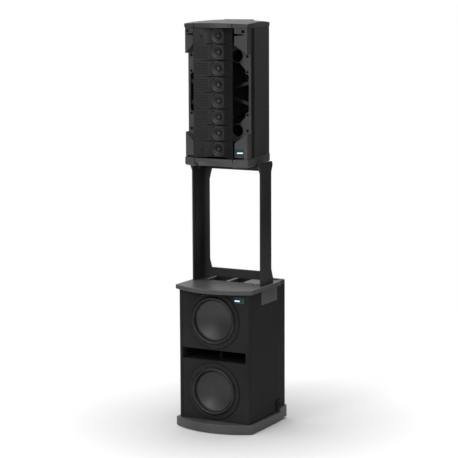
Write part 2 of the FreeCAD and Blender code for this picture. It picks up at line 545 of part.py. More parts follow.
def build_array_bracket():
    """A spider behind the array's two fixed middle modules, with four arms that reach the baffle's edge."""
    y0, y1 = HEAD_BAFFLE_Y + 9, HEAD_BAFFLE_Y + 19
    hub = box(-40, 40, y0, y1, HEAD_MID_Z - 12, HEAD_MID_Z + 12)
    arms = []
    for side in (-1, 1):
        for up in (-1, 1):
            inner, outer = (side * 20, HEAD_MID_Z + up * 4), (side * 157, HEAD_MID_Z + up * 52)
            half = 8.0
            arms.append(prism_y([(inner[0], inner[1] - half), (outer[0], outer[1] - half),
                                 (outer[0], outer[1] + half), (inner[0], inner[1] + half)], y0, y1))
    pads = [box(x - 4, x + 4, MODULE_BACK_Y, y0, HEAD_MID_Z - 12, HEAD_MID_Z + 12) for x in (-36, 36)]
    save("array_bracket", hub.fuse(arms + pads).removeSplitter())


def build_head_controls():
    """The amplifier tray in the back wall, with its controls below the cooling fins."""
    face_y, wall_y = TRAY_FACE_Y, SHELL_TAIL[-1][1]
    tray = box(-88, 88, wall_y, wall_y + 2, 1332, 1708)
    tray = tray.fuse(box(-81.5, 81.5, face_y - 3, wall_y, 1338.5, 1701.5))
    tray = tray.cut(box(-78.5, 78.5, face_y, wall_y + 3, 1341.5, 1698.5))
    fins = [box(x - 1.5, x + 1.5, face_y - 1, wall_y - 3, 1530, 1690) for x in range(-66, 67, 12)]
    knobs = {"head_level_knob_1": -45, "head_level_knob_2": 0}
    switch_x, switch_z = 52, 1375
    tray = tray.fuse(fins).cut([rod_y(x, 1490, 3.05, face_y - 14, face_y + 4) for x in knobs.values()])
    tray = tray.cut(box(switch_x - 8, switch_x + 8, face_y - 13, face_y + 4, switch_z - 11.5, switch_z + 11.5))
    save("head_amp_tray", tray.removeSplitter())
    for name, x in knobs.items():
        save(name, build_knob(x, 1490, face_y))
    save("head_power_switch", build_rocker(switch_x, switch_z, face_y))
    jacks = [build_jack(x, 1440, face_y) for x in (-45, 0, 45)]
    save("head_sockets", *jacks, build_inlet(0, 1375, face_y))


# ---- array ----------------------------------------------------------------------------------------
def module_blank():
    """One module's V-shaped housing, centred on z = 0, with its rear relieved so that neighbours can turn."""
    half = [(ARRAY_X, ARRAY_Y), (ARRAY_X, ARRAY_Y + 6), (THROAT_X + 4, THROAT_Y + 7),
            (THROAT_X + 4, MODULE_BACK_Y)]
    plan = half + [(-x, y) for x, y in reversed(half)] + [(-THROAT_X, THROAT_Y), (THROAT_X, THROAT_Y)]
    tall = PITCH / 2
    body = prism_z(plan, -tall, tall)
    edge = tall - MODULE_GAP / 2
    behind = MODULE_BACK_Y + 1 - HINGE_Y
    relief = math.tan(math.radians(BEND_DEG / 2 + 0.2)) * behind
    side = prism_x([(ARRAY_Y - 1, -edge), (HINGE_Y, -edge), (HINGE_Y + behind, -edge + relief),
                    (HINGE_Y + behind, edge - relief), (HINGE_Y, edge), (ARRAY_Y - 1, edge)], -110, 110)
    return body.common(side)


def module_ribs():
    """The grooves across both wings of a ribbed module."""
    wing = math.atan2(THROAT_Y - ARRAY_Y, ARRAY_X - THROAT_X)
    cuts = []
    for i in range(-2, 3):
        groove = box(0, 58, -1.0, 1.0, i * 12.0 - 0.9, i * 12.0 + 0.9)
        groove.rotate(V(0, 0, 0), UP, -math.degrees(wing))
        groove.translate(V(THROAT_X + 12, THROAT_Y - 12 * math.tan(wing), 0))
        cuts += both_sides(groove)
    return cuts


def small_driver():
    """A small full-range driver: square frame, basket and magnet."""
    plate = rounded(box(-32.5, 32.5, THROAT_Y - 0.8, THROAT_Y, -32.5, 32.5), 7,
                    lambda c: abs(abs(c.x) - 32.5) < 1 and abs(abs(c.z) - 32.5) < 1)
    plate = plate.cut(rod_y(0, 0, 26, THROAT_Y - 3, THROAT_Y + 1))
    basket = turned_y([(24, THROAT_Y - 0.8), (26.5, THROAT_Y - 0.8), (26.5, THROAT_Y + 4), (20, THROAT_Y + 20),
                       (22, THROAT_Y + 20), (22, THROAT_Y + 36), (0, THROAT_Y + 36), (0, THROAT_Y + 9),
                       (7, THROAT_Y + 9)], 0, 0)
    return plate.fuse(basket).removeSplitter()


def build_array():
    blank, driver, ribs = module_blank(), small_driver(), module_ribs()
    blank = blank.cut(rod_y(0, 0, 26.8, THROAT_Y - 1, THROAT_Y + 17))
    ribbed = blank.cut(ribs)
    plain = blank.cut([rod_y(x, 0, 3, -140, -120) for x in (-72, 72)])
    for i in range(MODULES):
        z = HEAD_MID_Z + (i - (MODULES - 1) / 2.0) * PITCH
        housing = (plain if i in (0, MODULES - 1) else ribbed).copy()
        housing.translate(V(0, 0, z))
        unit = driver.copy()
        unit.translate(V(0, 0, z))
        save("array_module_" + str(i + 1), housing, unit)


build_sub_boards()
build_sub_cap()
build_sub_plinth()
build_sub_drivers()
build_sub_controls()
build_stand()
build_head_shell()
build_head_baffle()
build_head_trim()
build_head_caps()
build_head_driver()
build_head_controls()
build_array_bracket()
build_array()
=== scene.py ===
"""The looks of the column PA system: materials on the CAD nodes, and the fine pieces that the CAD leaves out."""
import json
import math

import bmesh
import bpy
from mathutils import Matrix, Vector


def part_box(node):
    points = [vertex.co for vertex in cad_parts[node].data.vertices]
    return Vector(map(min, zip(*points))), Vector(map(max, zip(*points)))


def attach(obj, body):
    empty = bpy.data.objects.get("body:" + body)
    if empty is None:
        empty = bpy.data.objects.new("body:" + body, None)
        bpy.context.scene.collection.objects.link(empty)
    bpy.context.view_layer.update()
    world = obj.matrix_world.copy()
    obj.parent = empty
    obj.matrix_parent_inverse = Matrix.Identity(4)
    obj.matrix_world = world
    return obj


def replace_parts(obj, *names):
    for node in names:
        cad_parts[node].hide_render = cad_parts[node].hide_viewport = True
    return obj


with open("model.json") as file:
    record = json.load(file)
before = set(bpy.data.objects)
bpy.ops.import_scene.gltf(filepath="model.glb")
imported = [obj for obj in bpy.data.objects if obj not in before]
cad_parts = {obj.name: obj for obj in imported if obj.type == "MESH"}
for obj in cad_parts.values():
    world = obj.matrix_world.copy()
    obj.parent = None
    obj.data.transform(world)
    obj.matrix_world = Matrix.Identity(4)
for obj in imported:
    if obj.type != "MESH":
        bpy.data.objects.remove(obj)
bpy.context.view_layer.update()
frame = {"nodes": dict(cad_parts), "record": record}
NODES = frame["nodes"]
MM = 0.001
HEAD_LIGHT_TURN = math.radians(20.4)


# ---- node helpers ---------------------------------------------------------------------------------
def new_material(name):
    """An empty node tree with its output, and a shader linked to it."""
    material = bpy.data.materials.new(name)
    material.use_nodes = True
    shader = material.node_tree.nodes["Principled BSDF"]
    return material, material.node_tree, shader


def add(tree, kind, **settings):
    node = tree.nodes.new(kind)
    for key, value in settings.items():
        setattr(node, key, value)
    return node


def noise(tree, coords, size, detail=3.0):
    """Noise whose grains are about size metres across."""
    node = add(tree, "ShaderNodeTexNoise")
    node.inputs["Scale"].default_value = 0.5 / size
    node.inputs["Detail"].default_value = detail
    tree.links.new(coords, node.inputs["Vector"])
    return node.outputs["Fac"]


def spread(tree, value, low, high, start=0.3, end=0.7):
    """Maps start..end of a value onto low..high."""
    node = add(tree, "ShaderNodeMapRange")
    node.inputs["From Min"].default_value = start
    node.inputs["From Max"].default_value = end
    node.inputs["To Min"].default_value = low
    node.inputs["To Max"].default_value = high
    tree.links.new(value, node.inputs["Value"])
    return node.outputs["Result"]


def mix(tree, factor, first, second):
    node = add(tree, "ShaderNodeMix", data_type="RGBA")
    node.inputs["A"].default_value = (*first, 1.0)
    node.inputs["B"].default_value = (*second, 1.0)
    tree.links.new(factor, node.inputs["Factor"])
    return node.outputs["Result"]


def surface(name, colour, roughness, grain, depth, metallic=0.0, stretch=(1, 1, 1), scuff=0.25, specular=0.5):
    """A finish with a fine grain, slow changes of tone and gloss, and scattered scuffs."""
    material, tree, shader = new_material(name)
    coords = add(tree, "ShaderNodeTexCoord").outputs["Object"]
    mapping = add(tree, "ShaderNodeMapping")
    mapping.inputs["Scale"].default_value = stretch
    tree.links.new(coords, mapping.inputs["Vector"])
    fine = noise(tree, mapping.outputs["Vector"], grain, detail=2.0)
    broad = noise(tree, coords, 0.11, detail=5.0)
    marks = noise(tree, coords, 0.012, detail=6.0)
    tone = add(tree, "ShaderNodeMath", operation="MULTIPLY")
    tree.links.new(spread(tree, broad, 0.2, 1.0), tone.inputs[0])
    tree.links.new(spread(tree, fine, 0.55, 1.0), tone.inputs[1])
    dark = [c * 0.75 for c in colour]
    light = [c * 1.35 for c in colour]
    tree.links.new(mix(tree, tone.outputs[0], dark, light), shader.inputs["Base Color"])
    gloss = add(tree, "ShaderNodeMath", operation="ADD")
    tree.links.new(spread(tree, broad, roughness - 0.05, roughness + 0.05), gloss.inputs[0])
    tree.links.new(spread(tree, marks, 0.0, scuff * 0.3, 0.55, 0.75), gloss.inputs[1])
    tree.links.new(gloss.outputs[0], shader.inputs["Roughness"])
    shader.inputs["Metallic"].default_value = metallic
    shader.inputs["Specular IOR Level"].default_value = specular
    bump = add(tree, "ShaderNodeBump")
    bump.inputs["Strength"].default_value = 0.7
    bump.inputs["Distance"].default_value = depth
    tree.links.new(fine, bump.inputs["Height"])
    tree.links.new(bump.outputs["Normal"], shader.inputs["Normal"])
    return material


def glowing(name, colour, strength):
    """A lit light guide, its tone varying a little at random."""
    material, tree, shader = new_material(name)
    coords = add(tree, "ShaderNodeTexCoord").outputs["Object"]
    tone = mix(tree, noise(tree, coords, 0.006), [c * 0.8 for c in colour], colour)
    tree.links.new(tone, shader.inputs["Base Color"])
    tree.links.new(tone, shader.inputs["Emission Color"])
    shader.inputs["Emission Strength"].default_value = strength
    shader.inputs["Roughness"].default_value = 0.3
    return material


MATERIALS = {
    "painted_board": surface("painted_board", (0.019, 0.019, 0.020), 0.62, 0.0012, 0.0005, specular=0.04),
    "textured_plastic": surface("textured_plastic", (0.058, 0.058, 0.059), 0.42, 0.0008, 0.0002, specular=0.30),
    "cabinet_plastic": surface("cabinet_plastic", (0.024, 0.024, 0.025), 0.46, 0.0007, 0.00018, specular=0.40),
    # A darker, duller copy of the cabinet plastic: painted shade on the sub's rear housing and latches and on the
    # strips down the top cabinet's sides.
    "shaded_plastic": surface("shaded_plastic", (0.017, 0.017, 0.018), 0.60, 0.0007, 0.00018, specular=0.05),
    "array_plastic": surface("array_plastic", (0.013, 0.013, 0.014), 0.40, 0.0005, 0.00008, specular=0.35),
    "rubber": surface("rubber", (0.006, 0.006, 0.006), 0.40, 0.002, 0.00005, specular=0.34),
    "paper_cone": surface("paper_cone", (0.014, 0.014, 0.015), 0.46, 0.0016, 0.00015, specular=0.5),
    "small_cone": surface("small_cone", (0.030, 0.030, 0.031), 0.34, 0.0010, 0.00008, specular=0.5),
    "cast_frame": surface("cast_frame", (0.006, 0.006, 0.007), 0.42, 0.0009, 0.00012, specular=0.25),
    "stand_frame": surface("stand_frame", (0.021, 0.021, 0.022), 0.42, 0.0007, 0.00015, specular=0.40),
    "black_screw": surface("black_screw", (0.012, 0.012, 0.013), 0.36, 0.0006, 0.00005, metallic=0.3),
    "amp_aluminium": surface("amp_aluminium", (0.030, 0.030, 0.032), 0.38, 0.0006, 0.00006,
                             metallic=0.6, stretch=(1, 1, 12)),
    "control_plastic": surface("control_plastic", (0.016, 0.016, 0.017), 0.30, 0.0006, 0.00004),
    "socket_plastic": surface("socket_plastic", (0.012, 0.012, 0.012), 0.34, 0.0006, 0.00004),
    "light_plate": surface("light_plate", (0.030, 0.048, 0.056), 0.18, 0.003, 0.00002),
    "contact_metal": surface("contact_metal", (0.55, 0.55, 0.56), 0.28, 0.0008, 0.00003, metallic=1.0),
    "white_print": surface("white_print", (0.62, 0.62, 0.62), 0.55, 0.0004, 0.00002),
    # Near-black standing in for shade: painted shade in the ports, on the top cabinet's woofer and in the gap round the
    # woofer frames. The small drivers' black rubber surrounds and the dark grille inserts use it too.
    "recess_shade_black": surface("recess_shade_black", (0.004, 0.004, 0.004), 0.75, 0.002, 0.0003, specular=0.2),
    "light_bar": glowing("light_bar", (0.62, 0.86, 0.90), 0.75),
}


# ---- mesh helpers ---------------------------------------------------------------------------------
def smooth_by_angle():
    """A geometry group that shades smooth, and keeps edges sharper than 35 degrees."""
    group = bpy.data.node_groups.new("smooth_by_angle", "GeometryNodeTree")
    group.interface.new_socket("Geometry", in_out="INPUT", socket_type="NodeSocketGeometry")
    group.interface.new_socket("Geometry", in_out="OUTPUT", socket_type="NodeSocketGeometry")
    start, end = add(group, "NodeGroupInput"), add(group, "NodeGroupOutput")
    faces = add(group, "GeometryNodeSetShadeSmooth", domain="FACE")
    edges = add(group, "GeometryNodeSetShadeSmooth", domain="EDGE")
    edges.inputs["Shade Smooth"].default_value = False
    angle = add(group, "GeometryNodeInputMeshEdgeAngle")
    sharp = add(group, "FunctionNodeCompare", operation="GREATER_THAN")
    sharp.inputs["B"].default_value = math.radians(35)
    group.links.new(angle.outputs["Unsigned Angle"], sharp.inputs["A"])
    group.links.new(sharp.outputs["Result"], edges.inputs["Selection"])
    group.links.new(start.outputs[0], faces.inputs["Geometry"])
    group.links.new(faces.outputs["Geometry"], edges.inputs["Geometry"])
    group.links.new(edges.outputs["Geometry"], end.inputs[0])
    return group


SMOOTH = smooth_by_angle()


def soften(obj, width, segments=2, weld=False, clamp=False):
    """Rounds an object's sharp edges, and shades the rest smooth."""
    if weld:
        obj.modifiers.new("weld", "WELD").merge_threshold = 0.00002
        flat = obj.modifiers.new("flat", "DECIMATE")
        flat.decimate_type = "DISSOLVE"
        flat.angle_limit = math.radians(0.5)
    if width:
        bevel = obj.modifiers.new("edges", "BEVEL")
        bevel.width = width
        bevel.segments = segments
        bevel.limit_method = "ANGLE"
        bevel.angle_limit = math.radians(40)
        bevel.use_clamp_overlap = clamp
    obj.modifiers.new("smooth", "NODES").node_group = SMOOTH
    weights = obj.modifiers.new("weights", "WEIGHTED_NORMAL")
    weights.keep_sharp = True


def piece(name, mesh, slot, body, bevel=0.0, material=None):
    """Puts a finished mesh in the scene as a piece that rides on a body."""
    if isinstance(mesh, bmesh.types.BMesh):
        built, mesh = mesh, bpy.data.meshes.new(name)
        bmesh.ops.recalc_face_normals(built, faces=built.faces)
        built.to_mesh(mesh)
        built.free()
    obj = bpy.data.objects.new(name, mesh)
    bpy.context.scene.collection.objects.link(obj)
    mesh.materials.append(MATERIALS[material or slot])
    soften(obj, bevel)
    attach(obj, body)
    return obj


def lathe(bm, profile, centre, segments=96, axis=1):
    """Adds a surface of revolution about an axis through centre. profile is a list of (radius, height)."""
    rings = []
    for radius, height in profile:
        ring = []
        for i in range(segments if radius > 1e-6 else 1):
            t = 2 * math.pi * i / segments
            along = (radius * math.cos(t), radius * math.sin(t))
            if axis == 1:
                point = (centre[0] + along[0], centre[1] + height, centre[2] + along[1])
            else:
                point = (centre[0] + along[0], centre[1] + along[1], centre[2] + height)
            ring.append(bm.verts.new(point))
        rings.append(ring)
    for a, b in zip(rings, rings[1:]):
        for i in range(segments):
            j = (i + 1) % segments
            corners = [a[i % len(a)], a[j % len(a)], b[j % len(b)], b[i % len(b)]]
            unique = list(dict.fromkeys(corners))
            if len(unique) > 2:
                bm.faces.new(unique)


def block(bm, low, high):
    """Adds a box between two corners."""
    corners = [bm.verts.new((x, y, z)) for x in (low[0], high[0]) for y in (low[1], high[1])
               for z in (low[2], high[2])]
    for a, b, c, d in ((0, 1, 3, 2), (4, 6, 7, 5), (0, 4, 5, 1), (2, 3, 7, 6), (0, 2, 6, 4), (1, 5, 7, 3)):
        bm.faces.new([corners[i] for i in (a, b, c, d)])


def plate(bm, points, y_front, y_back):
    """Adds a plate with an outline in X and Z."""
    front = [bm.verts.new((x, y_front, z)) for x, z in points]
    back = [bm.verts.new((x, y_back, z)) for x, z in points]
    bm.faces.new(front)
    bm.faces.new(list(reversed(back)))
    for i in range(len(points)):
        j = (i + 1) % len(points)
        bm.faces.new([front[i], back[i], back[j], front[j]])


def half_roll(inner, outer, height, steps=14):
    """The profile of a driver's half-round surround, bulging forwards."""
    middle, half = (inner + outer) / 2, (outer - inner) / 2
    turn = [math.pi * i / steps for i in range(steps + 1)]
    return [(middle - half * math.cos(t), -height * math.sin(t)) for t in turn]


def centre_of(node):
    low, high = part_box(node)
    return (low + high) / 2, low, high


# ---- CAD nodes ------------------------------------------------------------------------------------
# Painted shade: the sub's rear housing and latches take a darker copy of the cabinet plastic, and the port boards, port
# tubes and the top cabinet's woofer board and frame take near-black, standing in for the shade that falls there.
OWN_FINISHES = {"sub_rear_housing": "shaded_plastic", "sub_stow_latches": "shaded_plastic", "head_baffle": "textured_plastic",
                "sub_port_boards": "recess_shade_black", "head_port_tubes": "recess_shade_black",
                "head_woofer_board": "recess_shade_black", "head_woofer_frame": "recess_shade_black"}
SHARP_NODES = {"sub_sockets": 0.0002, "head_sockets": 0.0002, "sub_amp_screws": 0.0004, "stand_screws": 0.0005,
               "head_amp_tray": 0.0004, "sub_amp_plate": 0.0004}

# These have filleted edges next to short ones, where an unclamped bevel would throw out spikes.
CLAMPED_NODES = ("sub_plinth", "sub_top_cap", "stand_left_post", "stand_right_post")


def dress_cad():
    """Gives every CAD node its slot's material and softened edges."""
    slots = {part["node"]: part["material_slot"] for part in frame["record"]["subparts"]}
    for name, obj in NODES.items():
        obj.data.materials.clear()
        obj.data.materials.append(MATERIALS[OWN_FINISHES.get(name, slots[name])])
        if "custom_normal" in obj.data.attributes:
            obj.data.attributes.remove(obj.data.attributes["custom_normal"])
        soften(obj, SHARP_NODES.get(name, 0.0008), weld=True, clamp=name in CLAMPED_NODES)


# ---- large drivers --------------------------------------------------------------------------------
def woofer_fronts():
    """Smooth cones, rubber surrounds and gaskets in place of the plain ones."""
    drivers = (("sub_lower_woofer", "sub_lower_cone", "bass_cabinet", 24 * MM),
               ("sub_upper_woofer", "sub_upper_cone", "bass_cabinet", 24 * MM),
               ("head_woofer", "head_cone", "top_cabinet", 34 * MM))
    for name, cone_body, body, dish in drivers:
        middle, low, high = centre_of(name + "_cone")
        radius = (high.x - low.x) / 2
        rim = Vector((middle.x, low.y, middle.z))
        front = []
        steps = 60
        for i in range(steps + 1):
            r = radius * (1 - i / steps)
            sunk = 4 * MM * min(1.0, (1 - r / radius) / 0.05)
            front.append((r, dish * (1 - (r / radius) ** 2) + sunk))
        bm = bmesh.new()
        back = [(0, dish + 7 * MM), (radius * 0.5, dish * 0.75 + 7 * MM), (radius * 0.95, 7 * MM), (radius, 2.2 * MM)]
        lathe(bm, front + back + [front[0]], rim, segments=128)
        # Painted shade: the top cabinet's woofer cone is near-black, standing in for the shade it sits in.
        finish = "recess_shade_black" if name == "head_woofer" else "paper_cone"
        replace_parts(piece(name + "_cone_skin", bm, "paper_cone", cone_body, material=finish), name + "_cone")
        _, s_low, s_high = centre_of(name + "_surround")
        outer = (s_high.x - s_low.x) / 2
        bm = bmesh.new()
        inner = radius + 0.3 * MM          # the cone slides inside the roll
        roll = half_roll(inner, outer + 2.6 * MM, 12 * MM)
        skirt = [(inner, 0.4 * MM)] + roll
        lathe(bm, skirt, rim, segments=128)
        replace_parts(piece(name + "_surround_roll", bm, "rubber", body), name + "_surround")
        bm = bmesh.new()
        _, f_low, f_high = centre_of(name + "_frame")
        gasket = [(outer + 3.5 * MM, 0), (outer + 4.2 * MM, -1.2 * MM), (outer + 7 * MM, -1.2 * MM),
                  (outer + 7.7 * MM, 0)]
        lathe(bm, gasket, Vector((middle.x, f_low.y, middle.z)), segments=128)
        piece(name + "_gasket", bm, "rubber", body)
        # Painted shade: a near-black ring round the frame's edge stands in for the shadow in the gap between the frame
        # and the baffle.
        edge = (f_high.x - f_low.x) / 2
        bm = bmesh.new()
        groove = [(edge - 0.6 * MM, 0.4 * MM), (edge - 0.4 * MM, -0.3 * MM), (edge + 0.4 * MM, 0),
                  (edge + 2.2 * MM, 3.4 * MM), (edge + 2.2 * MM, 4 * MM), (edge - 0.6 * MM, 4 * MM), (edge - 0.6 * MM, 0.4 * MM)]
        lathe(bm, groove, Vector((middle.x, f_low.y, middle.z)), segments=128)
        piece(name + "_shade_gap_ring", bm, "rubber", body, material="recess_shade_black")


def hex_screw(bm, x, y, z, radius, height):
    """A domed screw head with a hexagonal socket, facing -Y."""
    dome = [(radius, 0), (radius, -height * 0.55), (radius * 0.86, -height * 0.9), (radius * 0.6, -height)]
    lathe(bm, dome, (x, y, z), segments=24)
    lathe(bm, [(radius * 0.6, -height), (radius * 0.5, -height)], (x, y, z), segments=24)
    lathe(bm, [(radius * 0.5, -height), (radius * 0.46, -height * 0.3), (0, -height * 0.3)], (x, y, z), segments=6)


def woofer_screws():
    bm = bmesh.new()
    for name in ("sub_lower_woofer_frame", "sub_upper_woofer_frame"):
        middle, low, high = centre_of(name)
        pitch_radius = (high.x - low.x) / 2 - 7.5 * MM
        for i in range(8):
            t = math.radians(22.5 + 45 * i)
            hex_screw(bm, middle.x + pitch_radius * math.cos(t), low.y, middle.z + pitch_radius * math.sin(t),
                      4.5 * MM, 3 * MM)
    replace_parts(piece("woofer_screw_heads", bm, "black_screw", "bass_cabinet", bevel=0.0002), "sub_woofer_screws")
    bm = bmesh.new()
    middle, low, high = centre_of("head_woofer_frame")
    for i in range(8):
        t = math.radians(22.5 + 45 * i)
        hex_screw(bm, middle.x + 140.5 * MM * math.cos(t), low.y, middle.z + 140.5 * MM * math.sin(t),
                  4.0 * MM, 2.6 * MM)
    piece("head_woofer_screw_heads", bm, "black_screw", "top_cabinet", bevel=0.0002)


# ---- array ----------------------------------------------------------------------------------------
def array_body(i):
    return "top_cabinet" if i in (4, 5) else "array_" + str(i)


def small_drivers():
    """A dished ring, roll, cone, dust cap and screws for each small driver, in front of its plain CAD face."""
    for i in range(1, 9):
        middle, low, _ = centre_of("array_module_" + str(i))
        centre = Vector((0, low.y + 47.2 * MM, middle.z))
        body = array_body(i)
        bm = bmesh.new()
        dish = [(31.5, 0.4), (31.0, -0.5), (29.5, -0.7), (27.0, 0.3), (16.5, 6.4), (15.5, 7.2)]
        lathe(bm, [(r * MM, h * MM) for r, h in dish], centre, segments=64)
        piece("driver_dish_" + str(i), bm, "array_plastic", body, material="small_cone")
        bm = bmesh.new()
        roll = half_roll(10.0 * MM, 15.9 * MM, 2.2 * MM, steps=8)
        lathe(bm, [(r, h + 7.0 * MM) for r, h in roll], centre, segments=64)
        piece("driver_surround_" + str(i), bm, "rubber", body, material="recess_shade_black")
        bm = bmesh.new()
        cone = [(10.2, 6.8), (7.6, 8.4), (7.2, 8.4)]
        cap = [(7.2 * math.cos(math.radians(a)), 8.4 - 4.2 * math.sin(math.radians(a))) for a in range(10, 91, 10)]
        lathe(bm, [(r * MM, h * MM) for r, h in cone + cap], centre, segments=64)
        piece("driver_cone_" + str(i), bm, "array_plastic", body, material="small_cone")
        bm = bmesh.new()
        for dx in (-25.5, 25.5):
            for dz in (-25.5, 25.5):
                hex_screw(bm, dx * MM, centre.y, middle.z + dz * MM, 2.6 * MM, 1.6 * MM)
        piece("driver_screws_" + str(i), bm, "black_screw", body, bevel=0.00015)


def array_end_pins():
    """The small dark holes in the wings of the end modules."""
    for i in (1, 8):
        middle, low, _ = centre_of("array_module_" + str(i))
        bm = bmesh.new()
        for x in (-72, 72):
            lathe(bm, [(0, 25.6 * MM), (3.4 * MM, 25.6 * MM), (3.4 * MM, 20 * MM), (2.4 * MM, 20 * MM),
                       (2.4 * MM, 23 * MM), (0, 23 * MM)], (x * MM, low.y, middle.z), segments=24)
        piece("array_pin_bushes_" + str(i), bm, "black_screw", array_body(i))


# ---- trim, lights and small dark openings ----------------------------------------------------------
def status_lights():
    """Lit bars on the two glass plates. The top cabinet's plate is turned with its curved panel."""
    for name, body, shift, turn in (("sub_status_light", "bass_cabinet", (-12, -3), 0.0),
                                    ("head_status_light", "top_cabinet", (5, 0), HEAD_LIGHT_TURN)):
        middle, low, _ = centre_of(name)
        sideways, out = Vector((math.cos(turn), math.sin(turn), 0)), Vector((math.sin(turn), -math.cos(turn), 0))
        plane = low.y if not turn else middle.y
        stand_off = 0.2 if not turn else 2.3
        face = Vector((middle.x, plane, middle.z + shift[1] * MM)) + (sideways * shift[0] + out * stand_off) * MM
        along, up = sideways * 13.5 * MM, Vector((0, 0, 2.8 * MM))
        bm = bmesh.new()
        ends = []
        for depth in (0.0, -0.8 * MM):
            at = face + out * depth
            ends.append([bm.verts.new(v) for v in (at - along - up, at + along - up, at + along + up, at - along + up)])
        bm.faces.new(ends[0])
        bm.faces.new(list(reversed(ends[1])))
        for i in range(4):
            j = (i + 1) % 4
            bm.faces.new([ends[0][i], ends[1][i], ends[1][j], ends[0][j]])
        piece(name + "_bar", bm, "light_plate", body, bevel=0.0002, material="light_bar")


def boss_inserts():
    """Threaded metal inserts in the holes where the grille fastens."""
    low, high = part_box("head_baffle")
    middle_z = 1.600
    bm = bmesh.new()
    for x in (-149, 149):
        for dz in (-171.5, -99, 99, 171.5):
            ring = [(6.6, 0.4), (6.4, -0.4), (5.8, -0.6), (4.2, -0.6), (3.8, 0.0), (3.8, 6.0)]
            lathe(bm, [(r * MM, h * MM) for r, h in ring], (x * MM, low.y, middle_z + dz * MM), segments=32)
    piece("grille_inserts", bm, "black_screw", "top_cabinet", material="recess_shade_black")


def port_rims():
    """Raised rims round the four round ports."""
    low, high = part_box("head_baffle")
    bm = bmesh.new()
    for x in (-96, 96):
        for z in (1427, 1773):
            ring = [(28.8, 5.0), (28.8, -0.4), (29.4, -1.0), (31.2, -1.0), (31.8, -0.2), (31.8, 0.4)]
            lathe(bm, [(r * MM, h * MM) for r, h in ring], (x * MM, low.y, z * MM), segments=64)
    piece("port_rims", bm, "cabinet_plastic", "top_cabinet", material="textured_plastic")


def shade_strips():
    """Painted shade: thin dark strips on the sides of the top cabinet, behind the baffle's edge, standing in for the
    shade where the side faces straight out, away from the light.
    """
    low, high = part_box("head_shell")
    for name, side in (("left", -1), ("right", 1)):
        bm = bmesh.new()
        block(bm, (side * 165.6 * MM, -84 * MM, low.z + 2 * MM), (side * 166.6 * MM, -55 * MM, high.z - 2 * MM))
        piece("painted_shade_strip_" + name, bm, "cabinet_plastic", "top_cabinet", bevel=0.0004, material="shaded_plastic")


# ---- controls -------------------------------------------------------------------------------------
def fluted_knob(node, body):
    """A knob with grip flutes and a white pointer line, in place of the plain one."""
    middle, low, high = centre_of(node)
    radius, back = (high.x - low.x) / 2, high.y
    depth = 14 * MM
    bm = bmesh.new()
    segments, flutes = 96, 16
    rings = [(1.0, -depth, 0.0), (1.0, -depth + 1.2 * MM, 0.0), (0.93, -depth + 1.6 * MM, 0.05),
             (0.86, -1.5 * MM, 0.05), (0.80, -0.3 * MM, 0.02), (0.0, 0.0, 0.0)]
    previous = None
    for scale, height, flute in rings:
        ring = []
        for i in range(segments if scale else 1):
            t = 2 * math.pi * i / segments
            r = radius * (scale - flute * (0.5 + 0.5 * math.cos(flutes * t)))
            ring.append(bm.verts.new((middle.x + r * math.cos(t), back + height, middle.z + r * math.sin(t))))
        if previous:
            for i in range(segments):
                j = (i + 1) % segments
                corners = list(dict.fromkeys([previous[i], previous[j], ring[j % len(ring)], ring[i % len(ring)]]))
                bm.faces.new(corners)
        else:
            bm.faces.new(ring)
        previous = ring
    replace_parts(piece(node + "_cap", bm, "control_plastic", body), node)
    bm = bmesh.new()
    block(bm, (middle.x - 0.6 * MM, back - 1.0 * MM, middle.z + 2 * MM),
          (middle.x + 0.6 * MM, back + 0.15 * MM, middle.z + 6.6 * MM))
    piece(node + "_pointer", bm, "control_plastic", body, bevel=0.0001, material="white_print")


def dial_ticks(name, node, body, face):
    """Plain tick marks round a knob, over 300 degrees."""
    middle, _, _ = centre_of(node)
    bm = bmesh.new()
    for i in range(11):
        t = math.radians(-150 + 30 * i)
        out = Vector((math.sin(t), 0, math.cos(t)))
        across = Vector((math.cos(t), 0, -math.sin(t))) * 0.4 * MM
        base = Vector((middle.x, face, middle.z))
        a, b = base + out * 11.5 * MM, base + out * (14.5 if i % 5 == 0 else 13.5) * MM
        lift = Vector((0, 0.15 * MM, 0))
        ring = [bm.verts.new(p) for p in (a - across, b - across, b + across, a + across)]
        top = [bm.verts.new(v.co + lift) for v in ring]
        bm.faces.new(ring)
        bm.faces.new(list(reversed(top)))
        for k in range(4):
            bm.faces.new([ring[k], top[k], top[(k + 1) % 4], ring[(k + 1) % 4]])
    piece(name, bm, "control_plastic", body, material="white_print")


def jack_contacts(name, places, body):
    """Three sleeves in the core of each combination jack."""
    bm = bmesh.new()
    for x, y, z in places:
        for angle in (90, 210, 330):
            t = math.radians(angle)
            lathe(bm, [(1.6 * MM, 0), (1.6 * MM, 0.5 * MM), (1.0 * MM, 0.5 * MM), (1.0 * MM, 0.05 * MM), (0, 0.05 * MM)],
                  (x + 5.6 * MM * math.cos(t), y, z + 5.6 * MM * math.sin(t)), segments=20)
    piece(name, bm, "socket_plastic", body, material="contact_metal")


def rear_panels():
    for node, body, face in (("sub_level_knob", "bass_cabinet", 129 * MM), ("head_level_knob_1", "top_cabinet", 179 * MM),
                             ("head_level_knob_2", "top_cabinet", 179 * MM)):
        moving = {"sub_level_knob": "sub_knob", "head_level_knob_1": "head_knob_1", "head_level_knob_2": "head_knob_2"}
        fluted_knob(node, moving[node])
        dial_ticks(node + "_ticks", node, body, face)
    jack_contacts("sub_jack_contacts", [(x * MM, 130.2 * MM, 390 * MM) for x in (-15, 20, 55)], "bass_cabinet")
    jack_contacts("head_jack_contacts", [(x * MM, 180.2 * MM, 1440 * MM) for x in (-45, 0, 45)], "top_cabinet")


